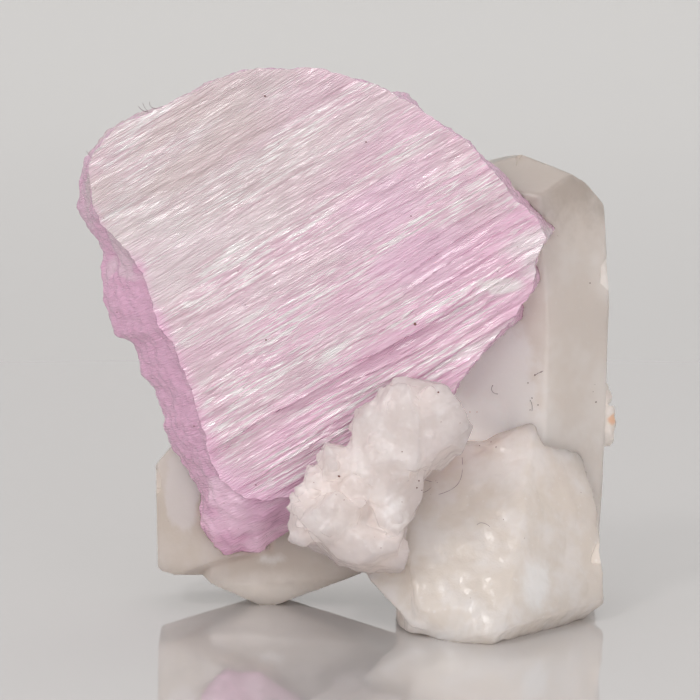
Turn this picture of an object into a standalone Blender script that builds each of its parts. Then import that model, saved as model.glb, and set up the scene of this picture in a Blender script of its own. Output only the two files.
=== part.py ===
"""A kunzite crystal grown on quartz, as five solids that meet along their natural seams.

Metres, +Z up, +X to the right and +Y away from the front. The origin is under the middle of
the specimen, at the level it stands on. Lengths below are in millimetres until MM turns them
into metres.
"""
import math
import random

import bmesh
import bpy
from mathutils import Matrix, Vector, noise

MM = 0.001

# Driving dimensions
MIDDLE = (0.18, 2.67, 0.0)     # point drawn below the specimen's middle, where the origin goes
SEAM = 0.3                     # gap left where two crystals meet
NEAR = 1e-4                    # slack for a direction that meets an outline at one of its corners
BLADE_FRONT = -3.4             # y of the kunzite blade's two broad faces
BLADE_BACK = 3.2
BLADE_CENTRE = (-3.0, 25.0)    # x, z of the middle of the blade
RIDGE_ANGLE = 31.0             # rise of the blade's ridges to the right, degrees
RIDGE_FAN = 1.3                # how far the two sets of ridges lean apart, degrees
RIDGE_SPACING = (0.55, 1.35)
RIDGE_RELIEF = (0.06, 0.30)
SLAB_FROM, SLAB_TO = 2.0, 46.0 # the ridged slab, measured across its ridges
SLAB_REACH = 40.0              # how far it runs each way along them
RIM_STEP = 1.1                 # spacing of the points round the blade's rim
RIM_ROUGHNESS = 0.28
LEDGES = ((15.4, 0.55), (22.5, 0.12))    # across the ridges: terraces end here, set back this far
ETCH_STEP = 1.9                # size of the facets of the etched base crystal
ETCH_DEPTH = 0.5

# The blade's outline, x and z, clockwise from the upper left
BLADE_OUTLINE = (
    (-19.9, 32.9), (-19.6, 34.5), (-17.5, 37.0), (-15.6, 38.1), (-13.6, 38.6), (-11.2, 39.8),
    (-9.9, 40.6), (-7.8, 41.3), (-5.8, 41.3), (-2.3, 41.2), (-1.2, 40.6), (0.8, 40.6),
    (3.0, 39.6), (4.2, 39.6), (5.8, 37.7), (8.9, 35.9), (9.8, 34.7), (11.1, 33.8),
    (12.5, 31.9), (15.2, 29.1), (14.1, 27.9), (13.6, 26.8), (14.1, 25.2), (12.6, 24.0),
    (12.8, 22.5), (10.3, 20.3), (8.2, 18.0), (7.8, 16.8), (3.6, 14.2), (-0.8, 9.0),
    (-4.1, 6.3), (-5.5, 5.6), (-6.9, 4.5), (-8.1, 4.7), (-9.2, 4.3), (-10.2, 5.0),
    (-11.3, 6.8), (-11.1, 9.0), (-12.1, 10.8), (-13.4, 12.6), (-13.9, 14.2), (-13.7, 14.8),
    (-14.5, 17.0), (-15.5, 18.0), (-15.6, 19.4), (-16.1, 20.5), (-17.5, 21.1), (-18.1, 23.2),
    (-18.4, 25.8), (-18.2, 27.3), (-19.1, 28.8), (-20.0, 30.9),
)

# Where the rim meets the blade's front face, in the same order
BLADE_FRONT_EDGE = (
    (-18.9, 34.2), (-16.8, 36.7), (-13.2, 38.1), (-9.5, 40.1), (-6.5, 40.8), (-2.0, 40.8),
    (2.5, 39.4), (5.0, 37.8), (9.0, 35.1), (11.6, 32.0), (14.3, 29.3), (13.4, 27.4),
    (13.2, 25.2), (11.9, 23.3), (9.4, 20.4), (6.9, 16.9), (2.5, 14.2), (-3.0, 10.4),
    (-7.4, 10.9), (-10.0, 12.4), (-10.1, 14.6), (-11.4, 18.7), (-12.2, 20.9), (-13.3, 22.8),
    (-14.7, 26.8), (-16.6, 29.0), (-18.3, 30.5),
)

# Each crystal is a box between two corners, cut by faces given as (x, y, z, azimuth, rise)
LARGE_CRYSTAL = {
    "low": (2.0, -1.0, 0.0),
    "high": (22.0, 16.0, 36.0),
    "faces": (
        (14.5, 1.0, 18.0, -109.6, 1.0),
        (14.5, 1.0, 18.0, -49.6, -1.0),
        (19.2, 5.0, 18.0, 10.4, -1.5),
        (18.1, 10.9, 18.0, 70.4, -0.5),
        (9.0, 14.2, 18.0, 130.4, 1.0),
        (3.4, 9.0, 18.0, 190.4, 1.5),
        (12.8, 6.0, 34.0, 28.0, 60.0),
        (19.3, 7.0, 29.6, 5.0, 40.0),
        (12.8, 6.0, 34.0, -100.0, 60.0),
        (12.8, 6.0, 34.0, 160.0, 74.0),
        (12.0, 12.5, 31.0, 80.0, 44.0),
        (9.0, 9.0, 3.0, -150.0, -58.0),
        (17.0, 3.0, 10.0, -44.0, -5.5),
        (16.6, 2.8, 24.0, -52.0, 4.0),
        (19.0, 8.0, 11.0, 15.0, -6.0),
        (18.9, 8.4, 24.0, 6.0, 3.5),
        (14.0, 12.4, 22.0, 67.0, 4.5),
        (13.4, 12.5, 9.0, 75.0, -6.0),
        (6.0, 11.7, 14.0, 126.0, -4.0),
        (6.6, 12.2, 23.0, 134.0, 5.0),
        (3.3, 7.0, 20.0, 186.0, 5.0),
    ),
}
KNOB_TURN, KNOB_TILT = 20.0, 30.0
KNOB_LUMPS = (                 # x, y, z and size
    (18.9, 6.4, 14.2, 1.7), (19.2, 7.4, 15.4, 1.2), (19.0, 6.2, 12.6, 1.2), (19.5, 6.9, 13.4, 1.1),
    (18.7, 8.2, 13.6, 1.5), (18.5, 5.4, 15.2, 1.1),
)

BASE_CRYSTAL = {
    "low": (3.4, -9.0, 0.0),
    "high": (19.0, 4.6, 16.0),
    "faces": (
        (8.0, -8.3, 0.6, -97.0, 36.0),
        (6.2, -6.2, 0.0, -162.0, 8.0),
        (5.2, -3.0, 5.0, -128.0, 22.0),
        (14.6, -2.4, 6.0, -44.0, 20.0),
        (16.0, -1.6, 0.0, -42.0, -38.0),
        (18.5, 2.0, 6.0, 2.0, 3.0),
        (17.2, 2.0, 0.0, 5.0, -50.0),
        (7.5, -8.2, 0.6, -95.0, -45.0),
        (5.0, -2.0, 0.2, -172.0, -36.0),
        (14.3, 0.4, 14.6, 122.0, 56.0),
        (14.3, 0.4, 14.6, 20.0, 62.0),
        (18.4, 2.9, 6.0, 42.0, 4.0),
    ),
}

LEFT_SMALL_CRYSTAL = {
    "low": (-15.0, 2.0, 1.0),
    "high": (-6.0, 11.0, 14.5),
    "faces": (
        (-14.5, 5.0, 8.0, 180.0, -1.0),
        (-12.5, 3.2, 8.0, -118.0, 2.0),
        (-12.6, 5.0, 2.3, -165.0, -50.0),
        (-12.4, 5.0, 2.1, -60.0, -64.0),
        (-11.0, 10.2, 8.0, 105.0, 0.0),
        (-14.4, 6.0, 10.6, 165.0, 42.0),
        (-12.0, 6.0, 13.6, 110.0, 66.0),
    ),
}
LEFT_LARGE_CRYSTAL = {
    "low": (-11.6, 3.0, 0.0),
    "high": (7.0, 13.6, 17.0),
    "faces": (
        (-6.9, 5.4, 0.0, -176.0, -62.0),
        (-5.5, 5.4, 0.0, -8.0, -67.0),
        (-6.2, 4.6, 0.0, -90.0, -34.0),
        (-6.2, 7.6, 0.0, 88.0, -38.0),
        (-6.0, 3.5, 6.0, -92.0, 4.0),
        (-11.3, 6.5, 6.0, -158.0, 6.0),
        (-9.6, 11.2, 6.0, 146.0, 8.0),
        (-3.0, 13.2, 7.0, 86.0, 10.0),
        (-8.0, 9.0, 12.6, 150.0, 58.0),
        (0.0, 12.0, 14.6, 70.0, 50.0),
        (-7.0, 12.4, 5.0, 110.0, -6.0),
        (-2.0, 12.8, 11.0, 98.0, 20.0),
        (-11.2, 7.4, 9.0, 176.0, 16.0),
    ),
}

# Chips broken from the crystals' edges: x, y, z and size
LARGE_CHIPS = (
    (12.8, 5.0, 34.6, 2.8), (19.7, 4.7, 25.2, 2.4), (18.9, 11.8, 19.0, 3.4), (9.4, 14.9, 26.0, 3.2),
    (2.9, 11.4, 27.0, 3.2), (19.0, 11.4, 5.0, 3.0), (8.6, 15.0, 9.0, 3.6), (18.2, 12.8, 30.0, 3.0),
)
LEFT_CHIPS = (
    (-14.9, 4.2, 9.6, 2.2), (-11.9, 10.2, 5.0, 3.0), (-9.9, 12.2, 9.4, 3.2), (-1.0, 13.9, 4.0, 3.4),
    (-15.1, 9.4, 6.0, 2.8),
)
BASE_CHIPS = (
    (8.6, -8.8, 1.8, 2.6), (13.8, -5.2, 1.6, 2.8), (18.9, 0.0, 5.6, 2.6), (5.7, -6.9, 3.0, 2.4),
)

# The crust of small crystals: centre, then size, then turn about the vertical and tilt
CRUST_BLOCKS = (
    ((4.8, -5.4, 15.5), (6.4, 4.6, 6.2), 28.0, 34.0),
    ((1.6, -5.0, 13.6), (3.6, 3.6, 3.4), -15.0, 20.0),
    ((-0.9, -6.0, 12.6), (2.7, 2.6, 2.1), 10.0, 12.0),
    ((-3.1, -4.6, 8.4), (2.8, 3.2, 3.8), 35.0, 10.0),
    ((-1.1, -6.2, 8.9), (3.6, 3.4, 3.7), 20.0, 40.0),
    ((2.9, -6.6, 9.4), (3.0, 2.8, 3.2), 50.0, 25.0),
    ((0.6, -4.2, 9.8), (7.0, 5.0, 7.0), 12.0, 8.0),
    ((0.6, -4.8, 6.6), (5.6, 5.6, 4.0), -12.0, 22.0),
    ((2.4, -4.8, 4.4), (3.6, 4.6, 3.4), 18.0, 34.0),
    ((3.8, -4.0, 3.0), (2.6, 3.6, 2.8), 25.0, 40.0),
    ((6.0, -3.4, 11.2), (3.4, 3.6, 3.2), 15.0, 30.0),
    ((-1.8, -1.8, 7.0), (3.6, 5.0, 3.0), 0.0, 18.0),
    ((1.6, 0.2, 6.2), (4.6, 5.0, 4.4), 8.0, 20.0),
)
CRUST_GRAINS = 26
GRAIN_SIZE = (1.1, 2.2)


def start_scene():
    """Remove what the scene holds and make the two collections."""
    for item in list(bpy.data.objects):
        bpy.data.objects.remove(item, do_unlink=True)
    made = []
    for title in ("kunzite_on_quartz", "cutters"):
        group = bpy.data.collections.new(title)
        bpy.context.scene.collection.children.link(group)
        made.append(group)
    return made


PARTS, CUTTERS = start_scene()


def material(name, colour, roughness, transmission=0.0, ior=1.54):
    """One plain finish for one crystal."""
    finish = bpy.data.materials.new(name)
    finish.use_nodes = True
    shader = finish.node_tree.nodes["Principled BSDF"]
    shader.inputs["Base Color"].default_value = (*colour, 1.0)
    shader.inputs["Roughness"].default_value = roughness
    shader.inputs["Metallic"].default_value = 0.0
    shader.inputs["Transmission Weight"].default_value = transmission
    shader.inputs["IOR"].default_value = ior
    return finish


def as_object(name, bm, group, finish=None):
    """Turn a mesh drawn in millimetres into an object in metres, placed about the origin."""
    bmesh.ops.translate(bm, vec=-Vector(MIDDLE), verts=bm.verts[:])
    bmesh.ops.scale(bm, vec=(MM, MM, MM), verts=bm.verts[:])
    bmesh.ops.recalc_face_normals(bm, faces=bm.faces[:])
    mesh = bpy.data.meshes.new(name)
    bm.to_mesh(mesh)
    bm.free()
    item = bpy.data.objects.new(name, mesh)
    group.objects.link(item)
    if finish:
        mesh.materials.append(finish)
    if group is CUTTERS:
        item.hide_render = True
        item.display_type = 'WIRE'
    return item


def combine(item, other, operation):
    """Add a Boolean of one object with another."""
    step = item.modifiers.new(f"{operation.lower()} {other.name}", 'BOOLEAN')
    step.operation = operation
    step.solver = 'EXACT'
    step.object = other


def facing(azimuth, rise):
    """The direction a crystal face looks: azimuth from +X towards +Y, rise above the horizon."""
    turn, lift = math.radians(azimuth), math.radians(rise)
    return Vector((math.cos(turn) * math.cos(lift), math.sin(turn) * math.cos(lift), math.sin(lift)))


def slice_off(bm, point, normal):
    """Cut away what lies beyond a plane and close the cut with one flat face."""
    everything = bm.verts[:] + bm.edges[:] + bm.faces[:]
    cut = bmesh.ops.bisect_plane(bm, geom=everything, dist=1e-6, plane_co=point, plane_no=normal,
                                 clear_outer=True)
    rim = [part for part in cut["geom_cut"] if isinstance(part, bmesh.types.BMEdge)]
    if rim:
        bmesh.ops.contextual_create(bm, geom=rim)


def body(shape, grow=0.0):
    """A crystal: a box between two corners, cut by its faces, and grown by a margin for a seat."""
    bm = bmesh.new()
    bmesh.ops.create_cube(bm, size=1.0)
    low, high = Vector(shape["low"]), Vector(shape["high"])
    spread = Vector((grow, grow, grow))
    size = high - low + 2 * spread
    bmesh.ops.scale(bm, vec=size, verts=bm.verts[:])
    bmesh.ops.translate(bm, vec=(low + high) / 2, verts=bm.verts[:])
    for x, y, z, azimuth, rise in shape["faces"]:
        normal = facing(azimuth, rise)
        slice_off(bm, Vector((x, y, z)) + normal * grow, normal)
    return bm


def reach(outline, angle):
    """How far an outline lies from the blade's centre in a given direction."""
    cx, cz = BLADE_CENTRE
    direction = Vector((math.cos(angle), math.sin(angle)))
    furthest = 0.0
    for start, end in zip(outline, outline[1:] + outline[:1]):
        a = Vector((start[0] - cx, start[1] - cz))
        side = Vector((end[0] - start[0], end[1] - start[1]))
        across = direction.x * side.y - direction.y * side.x
        if abs(across) < 1e-9:
            continue
        along_ray = (a.x * side.y - a.y * side.x) / across
        along_side = (a.x * direction.y - a.y * direction.x) / across
        if along_ray > 0 and -NEAR <= along_side <= 1 + NEAR:
            furthest = max(furthest, along_ray)
    return furthest


def rim_angles():
    """Directions from the centre to points spaced evenly round the outline."""
    cx, cz = BLADE_CENTRE
    angles = []
    for start, end in zip(BLADE_OUTLINE, BLADE_OUTLINE[1:] + BLADE_OUTLINE[:1]):
        a, b = Vector(start), Vector(end)
        pieces = max(1, round((b - a).length / RIM_STEP))
        for step in range(pieces):
            here = a.lerp(b, step / pieces)
            angles.append(math.atan2(here.y - cz, here.x - cx))
    return angles


def blade_body(grow=0.0, rough=True):
    """The blade as a loft from its back, over its widest outline, to its front edge."""
    chance = random.Random(7)
    cx, cz = BLADE_CENTRE
    rings = (
        (BLADE_BACK + 0.6 + grow, -1.1, 0.0),     # y, inset of the outline, share of the rim slant
        (BLADE_BACK - 1.2, 0.0, 0.0),
        (0.4, 0.0, 0.22),
        (-1.2, 0.0, 0.52),
        (-2.4, 0.0, 0.80),
        (BLADE_FRONT - 0.6 - grow, 0.0, 1.0),
    )
    bm = bmesh.new()
    loops = []
    for index, (y, inset, slant) in enumerate(rings):
        loop = []
        for angle in rim_angles():
            wide, narrow = reach(BLADE_OUTLINE, angle), reach(BLADE_FRONT_EDGE, angle)
            radius = wide + (narrow - wide) * slant + inset + grow
            if rough and 1 < index < len(rings) - 1:
                radius -= chance.uniform(0.0, 1.0) * RIM_ROUGHNESS * min(1.0, (wide - narrow) / 1.5)
            loop.append(bm.verts.new((cx + radius * math.cos(angle), y, cz + radius * math.sin(angle))))
        loops.append(loop)
    for lower, upper in zip(loops, loops[1:]):
        for i in range(len(lower)):
            j = (i + 1) % len(lower)
            bm.faces.new((lower[i], lower[j], upper[j], upper[i]))
    bm.faces.new(loops[0])
    bm.faces.new(loops[-1])
    return bm


def terrace(across):
    """How far the front face is set back, across the ridges."""
    for edge, drop in LEDGES:
        if across < edge:
            return drop
    return 0.0


def ridged_slab(name, seed, lean):
    """A long slab whose front and back are ridged along its length, for cutting the blade to."""
    chance = random.Random(seed)
    front, back = [], []
    for side, base in ((front, BLADE_FRONT), (back, BLADE_BACK)):
        inward = 1.0 if base < 0 else -1.0
        across, up = SLAB_FROM, True
        while across < SLAB_TO:
            drop = chance.uniform(*RIDGE_RELIEF) if up else 0.0
            if base < 0:
                drop += terrace(across)
            side.append((across, base + inward * drop))
            across += chance.uniform(*RIDGE_SPACING) / 2
            up = not up
    outline = front + back[::-1]
    curve = bpy.data.curves.new(name, 'CURVE')
    curve.dimensions = '2D'
    curve.fill_mode = 'BOTH'
    curve.extrude = SLAB_REACH * MM
    line = curve.splines.new('POLY')
    line.points.add(len(outline) - 1)
    for point, (across, y) in zip(line.points, outline):
        point.co = (across * MM, y * MM, 0.0, 1.0)
    line.use_cyclic_u = True
    drawn = bpy.data.objects.new(name + "_outline", curve)
    CUTTERS.objects.link(drawn)
    angle = math.radians(RIDGE_ANGLE + lean)
    along = Vector((math.cos(angle), 0.0, math.sin(angle)))
    across_axis = Vector((-math.sin(angle), 0.0, math.cos(angle)))
    turn = Matrix((across_axis, Vector((0.0, 1.0, 0.0)), along)).transposed().to_4x4()
    cx, cz = BLADE_CENTRE
    middle = Vector((cx * MM, 0.0, cz * MM))
    straight = math.radians(RIDGE_ANGLE)
    middle_across = -math.sin(straight) * middle.x + math.cos(straight) * middle.z
    drawn.matrix_world = Matrix.Translation(middle - across_axis * middle_across) @ turn
    bpy.context.view_layer.update()
    solid = bpy.data.meshes.new_from_object(drawn.evaluated_get(bpy.context.evaluated_depsgraph_get()))
    bm = bmesh.new()
    bm.from_mesh(solid)
    bmesh.ops.remove_doubles(bm, verts=bm.verts[:], dist=1e-7)
    bmesh.ops.transform(bm, matrix=drawn.matrix_world, verts=bm.verts[:])
    bmesh.ops.scale(bm, vec=(1 / MM, 1 / MM, 1 / MM), verts=bm.verts[:])
    bpy.data.objects.remove(drawn, do_unlink=True)
    bpy.data.meshes.remove(solid)
    return as_object(name, bm, CUTTERS)


def kunzite(finish):
    """The pink blade: its body cut to two fans of ridges that cross at a small angle."""
    blade = as_object("kunzite_crystal", blade_body(), PARTS, finish)
    for name, seed, lean in (("steep_ridges", 11, RIDGE_FAN), ("shallow_ridges", 29, -RIDGE_FAN)):
        combine(blade, ridged_slab(name, seed, lean), 'INTERSECT')


def block(centre, size, turn, tilt, chance, cuts=9):
    """A small blunt crystal: a box of a given size, turned, with its corners cut off."""
    bm = bmesh.new()
    bmesh.ops.create_cube(bm, size=1.0)
    for _ in range(cuts):
        normal = facing(chance.uniform(0.0, 360.0), chance.uniform(-60.0, 60.0))
        slice_off(bm, normal * chance.uniform(0.44, 0.58), normal)
    bmesh.ops.scale(bm, vec=size, verts=bm.verts[:])
    turned = Matrix.Rotation(math.radians(turn), 3, 'Z') @ Matrix.Rotation(math.radians(tilt), 3, 'Y')
    bmesh.ops.rotate(bm, cent=(0.0, 0.0, 0.0), matrix=turned, verts=bm.verts[:])
    bmesh.ops.translate(bm, vec=centre, verts=bm.verts[:])
    return bm


def gather(meshes):
    """Put several meshes in one; the first Boolean that meets them joins them in one solid."""
    whole = bmesh.new()
    for bm in meshes:
        loose = bpy.data.meshes.new("loose")
        bmesh.ops.recalc_face_normals(bm, faces=bm.faces[:])
        bm.to_mesh(loose)
        bm.free()
        whole.from_mesh(loose)
        bpy.data.meshes.remove(loose)
    return whole


def loose_blocks(name, places, seed):
    """Blocks to add to a crystal or cut from it, at places given as (x, y, z, size)."""
    chance = random.Random(seed)
    made = []
    for x, y, z, size in places:
        sides = (size, size * chance.uniform(0.6, 0.9), size * chance.uniform(0.8, 1.1))
        turn, tilt = chance.uniform(0.0, 90.0), chance.uniform(0.0, 60.0)
        made.append(block((x, y, z), sides, turn, tilt, chance, 14))
    return as_object(name, gather(made), CUTTERS)


def clearance(place, shape):
    """How far a point lies outside a crystal's faces."""
    return max((place - Vector(face[:3])).dot(facing(*face[3:])) for face in shape["faces"])


def etch(bm, longest, depth, neighbour):
    """Break a crystal's flat faces into small facets, sunk by an uneven amount.

    Its foot stays flat, and so does the seam where it meets its neighbour.
    """
    bmesh.ops.triangulate(bm, faces=bm.faces[:])
    long_edges = [edge for edge in bm.edges if edge.calc_length() > longest]
    while long_edges:
        bmesh.ops.subdivide_edges(bm, edges=long_edges, cuts=1)
        bmesh.ops.triangulate(bm, faces=[face for face in bm.faces if len(face.verts) > 3])
        long_edges = [edge for edge in bm.edges if edge.calc_length() > longest]
    bm.normal_update()
    inward = {vert: -vert.normal for vert in bm.verts}
    for vert, way in inward.items():
        if vert.co.z > NEAR:
            sunk = 0.5 + 0.6 * noise.noise(vert.co * 0.8) + 0.5 * noise.noise(vert.co * 1.9)
            fade = min(1.0, max(0.0, (clearance(vert.co, neighbour) - SEAM) / 1.5))
            vert.co += way * depth * fade * min(1.0, max(0.0, sunk))
            vert.co.z = max(vert.co.z, 0.05)
    return bm


def chip(item, places, seed):
    """Break small pieces from a crystal's edges."""
    combine(item, loose_blocks(f"{item.name}_chips", places, seed), 'DIFFERENCE')


def crust_blocks():
    """The blocks of the crust, with small grains scattered over their fronts."""
    chance = random.Random(5)
    made = [block(centre, size, turn, tilt, chance) for centre, size, turn, tilt in CRUST_BLOCKS]
    for _ in range(CRUST_GRAINS):
        centre, size = CRUST_BLOCKS[chance.randrange(len(CRUST_BLOCKS))][:2]
        side = facing(chance.uniform(-175.0, -5.0), chance.uniform(-60.0, 60.0))
        place = [centre[axis] + side[axis] * size[axis] * 0.48 for axis in range(3)]
        width = chance.uniform(*GRAIN_SIZE)
        grain = (width, width * chance.uniform(0.8, 1.2), width * chance.uniform(0.8, 1.2))
        made.append(block(place, grain, chance.uniform(0.0, 90.0), chance.uniform(0.0, 60.0), chance, 5))
    return made


def crystal_finishes():
    """The finishes of the kunzite, the two kinds of quartz and the white crust."""
    return {
        "pink": material("kunzite_pink", (0.72, 0.45, 0.60), 0.16, 0.6, 1.66),
        "smoky": material("quartz_smoky", (0.50, 0.44, 0.37), 0.12, 0.8),
        "milky": material("quartz_milky", (0.62, 0.56, 0.52), 0.35, 0.4),
        "white": material("crust_white", (0.78, 0.72, 0.71), 0.40, 0.3),
    }


def join(name, bodies, finish):
    """One solid made of overlapping bodies."""
    item = as_object(name, bodies[0], PARTS, finish)
    combine(item, as_object(f"{name}_rest", gather(bodies[1:]), CUTTERS), 'UNION')
    item.modifiers[-1].use_self = True
    return item


def trim(item, seats):
    """Cut a crystal back to the ones it grew against."""
    for seat in seats:
        combine(item, seat, 'DIFFERENCE')


def build():
    """Make the five solids, each trimmed to the ones it grew against."""
    finishes = crystal_finishes()
    kunzite(finishes["pink"])
    blade_seat = as_object("blade_seat", blade_body(grow=SEAM, rough=False), CUTTERS)
    large_seat = as_object("large_seat", body(LARGE_CRYSTAL, SEAM), CUTTERS)
    base_seat = as_object("base_seat", body(BASE_CRYSTAL, SEAM), CUTTERS)
    left_seat = as_object("left_seat", body(LEFT_LARGE_CRYSTAL, SEAM), CUTTERS)

    chance = random.Random(3)
    knob = [block(lump[:3], (lump[3],) * 3, KNOB_TURN, KNOB_TILT, chance) for lump in KNOB_LUMPS]
    large = join("large_quartz_crystal", [body(LARGE_CRYSTAL)] + knob, finishes["smoky"])
    trim(large, [blade_seat])
    chip(large, LARGE_CHIPS, 13)

    stub = body(BASE_CRYSTAL)
    bmesh.ops.recalc_face_normals(stub, faces=stub.faces[:])
    etched = etch(stub, ETCH_STEP, ETCH_DEPTH, LARGE_CRYSTAL)
    base = as_object("base_quartz_crystal", etched, PARTS, finishes["milky"])
    trim(base, [large_seat])
    chip(base, BASE_CHIPS, 17)

    pair = [body(LEFT_LARGE_CRYSTAL), body(LEFT_SMALL_CRYSTAL)]
    left = join("left_quartz_crystals", pair, finishes["smoky"])
    trim(left, [blade_seat, large_seat, base_seat])
    chip(left, LEFT_CHIPS, 19)

    crust = join("pale_crystal_cluster", crust_blocks(), finishes["white"])
    trim(crust, [blade_seat, large_seat, base_seat, left_seat])


build()
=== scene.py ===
# Looks for a pink kunzite blade grown on quartz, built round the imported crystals.
# Metres; +Z is up and the front of the specimen faces -Y.
import math
import random

import bpy
import numpy as np

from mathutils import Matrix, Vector, noise


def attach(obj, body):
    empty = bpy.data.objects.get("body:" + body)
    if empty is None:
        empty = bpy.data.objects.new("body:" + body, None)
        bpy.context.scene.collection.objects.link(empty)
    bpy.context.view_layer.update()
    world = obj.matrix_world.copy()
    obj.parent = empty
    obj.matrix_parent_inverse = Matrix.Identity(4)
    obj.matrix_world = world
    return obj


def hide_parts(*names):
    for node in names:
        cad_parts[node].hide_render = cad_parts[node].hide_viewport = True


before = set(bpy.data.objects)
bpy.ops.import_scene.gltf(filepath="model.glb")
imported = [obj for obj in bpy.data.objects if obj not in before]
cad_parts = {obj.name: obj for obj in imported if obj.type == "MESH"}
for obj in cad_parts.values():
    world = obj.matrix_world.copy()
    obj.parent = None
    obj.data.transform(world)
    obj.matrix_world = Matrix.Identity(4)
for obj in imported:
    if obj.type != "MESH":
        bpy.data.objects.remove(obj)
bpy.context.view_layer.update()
mm = 0.001
print("frame loaded:", ", ".join(sorted(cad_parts)))


# Helpers

def onlySelect(piece):
    if bpy.context.object and bpy.context.object.mode != "OBJECT":
        bpy.ops.object.mode_set(mode="OBJECT")
    bpy.ops.object.select_all(action="DESELECT")
    piece.select_set(True)
    bpy.context.view_layer.objects.active = piece


def applyModifier(piece, kind, **settings):
    onlySelect(piece)
    step = piece.modifiers.new(kind.title(), kind)
    for name, value in settings.items():
        setattr(step, name, value)
    bpy.ops.object.modifier_apply(modifier=step.name)


def relief(piece, pattern, size, depth, vertexGroup="", **look):
    # Pushes the surface in and out by a pattern; size and depth in mm
    texture = bpy.data.textures.new(pattern.lower(), pattern)
    texture.noise_scale = size * mm
    for name, value in look.items():
        setattr(texture, name, value)
    applyModifier(piece, "DISPLACE", texture=texture, texture_coords="LOCAL", direction="NORMAL",
                  strength=depth * mm, mid_level=0.5, vertex_group=vertexGroup)
    bpy.data.textures.remove(texture)


def copyOf(node, name):
    # A copy of a CAD crystal to work on, with its loose triangles joined up
    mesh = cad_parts[node].data.copy()
    mesh.materials.clear()
    piece = bpy.data.objects.new(name, mesh)
    bpy.context.scene.collection.objects.link(piece)
    onlySelect(piece)
    bpy.ops.object.mode_set(mode="EDIT")
    bpy.ops.mesh.select_all(action="SELECT")
    bpy.ops.mesh.remove_doubles(threshold=1e-6)
    bpy.ops.object.mode_set(mode="OBJECT")
    return piece


def finishPiece(piece, material, slotName, *nodes, angle=35):
    onlySelect(piece)
    bpy.ops.object.shade_smooth_by_angle(angle=math.radians(angle))
    piece.data.materials.clear()
    piece.data.materials.append(material)
    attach(piece, "root")
    if nodes:
        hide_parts(*nodes)
    print(f"{piece.name}: {len(piece.data.polygons)} faces")


def setInputs(tree, node, values):
    # A socket among the values is linked, and anything else is set
    for name, value in values.items():
        if isinstance(value, bpy.types.NodeSocket):
            tree.links.new(value, node.inputs[name])
        else:
            node.inputs[name].default_value = value


def addNode(tree, kind, place, inputs=None, **settings):
    node = tree.nodes.new("ShaderNode" + kind)
    node.location = place
    for name, value in settings.items():
        setattr(node, name, value)
    setInputs(tree, node, inputs or {})
    return node


def addMath(tree, operation, first, second, place, third=0.5):
    values = {0: first, 1: second, 2: third}
    return addNode(tree, "Math", place, values, operation=operation).outputs["Value"]


def addMix(tree, below, above, mask, place):
    return addNode(tree, "Mix", place, {"A": below, "B": above, "Factor": mask},
                   data_type="RGBA").outputs["Result"]


def addRange(tree, value, limits, place, kind="LINEAR"):
    # Limits are from min, from max, to min and to max
    names = ("From Min", "From Max", "To Min", "To Max")
    return addNode(tree, "MapRange", place, {"Value": value, **dict(zip(names, limits))},
                   interpolation_type=kind).outputs["Result"]


def newMaterial(name, values):
    material = bpy.data.materials.new(name)
    material.use_nodes = True
    tree = material.node_tree
    shader = tree.nodes["Principled BSDF"]
    shader.subsurface_method = "BURLEY"
    setInputs(tree, shader, values)
    position = addNode(tree, "TexCoord", (-1900, 0)).outputs["Object"]
    return material, tree, shader, position


def addAbsorption(tree, colour, density):
    absorb = addNode(tree, "VolumeAbsorption", (700, -600), {"Color": colour, "Density": density})
    tree.links.new(absorb.outputs["Volume"], tree.nodes["Material Output"].inputs["Volume"])


def addBump(tree, shader, height, strength, depth):
    bump = addNode(tree, "Bump", (700, -300), {"Height": height, "Strength": strength, "Distance": depth * mm})
    tree.links.new(bump.outputs["Normal"], shader.inputs["Normal"])


# Camera

camera = {
    "target": (-0.00018, -0.00267, 0.0203),
    "distance": 0.35,
    "elevation": 10,
    "lens": 245,
}


def addCamera():
    rise = math.radians(camera["elevation"])
    back = Vector((0, -math.cos(rise), math.sin(rise)))
    place = Vector(camera["target"]) + back * camera["distance"]
    bpy.ops.object.camera_add(location=place, rotation=(math.radians(90) - rise, 0, 0))
    made = bpy.context.object
    made.data.lens = camera["lens"]
    made.data.sensor_width = 36
    made.data.clip_start = 0.01
    bpy.context.scene.camera = made


# Studio

studio = {
    "floorWidth": 4.0,
    "floorFront": -0.6,
    "floorBack": 1.7,
    "backHeight": 2.2,
    "bend": 0.62,
    # painted light: the floor is painted paler further back, turning to the back colour
    "floorColour": (0.585, 0.565, 0.56, 1),
    "backColour": (0.99, 0.975, 0.96, 1),
    "fade": (0.08, 0.50),                     # y where the floor begins to turn paler, and where it is palest
    "floorRoughness": (0.028, 0.0455),
    "floorSkin": {"IOR": 1.5, "Coat Weight": 1.0, "Coat IOR": 1.8, "Coat Roughness": 0.02},
    "world": (0.80, 0.795, 0.79, 1),
    "worldStrength": 0.80,
    "lamps": (
        # name, place, size, watts, colour
        ("keyLamp", (-0.28, -0.34, 0.46), 0.11, 0.8, (1.0, 0.985, 0.97)),
        ("leftLamp", (-0.46, -0.24, 0.12), 0.36, 0.25, (1.0, 0.985, 0.98)),
        ("glintLamp", (-0.16, -0.56, 0.18), 0.10, 0.36, (1.0, 0.99, 0.98)),
        ("fillLamp", (0.20, -0.55, 0.12), 0.40, 1.2, (1.0, 0.99, 0.985)),
        ("topLamp", (0.05, 0.30, 0.70), 0.50, 0.8, (1.0, 0.99, 0.98)),
    ),
}


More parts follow.
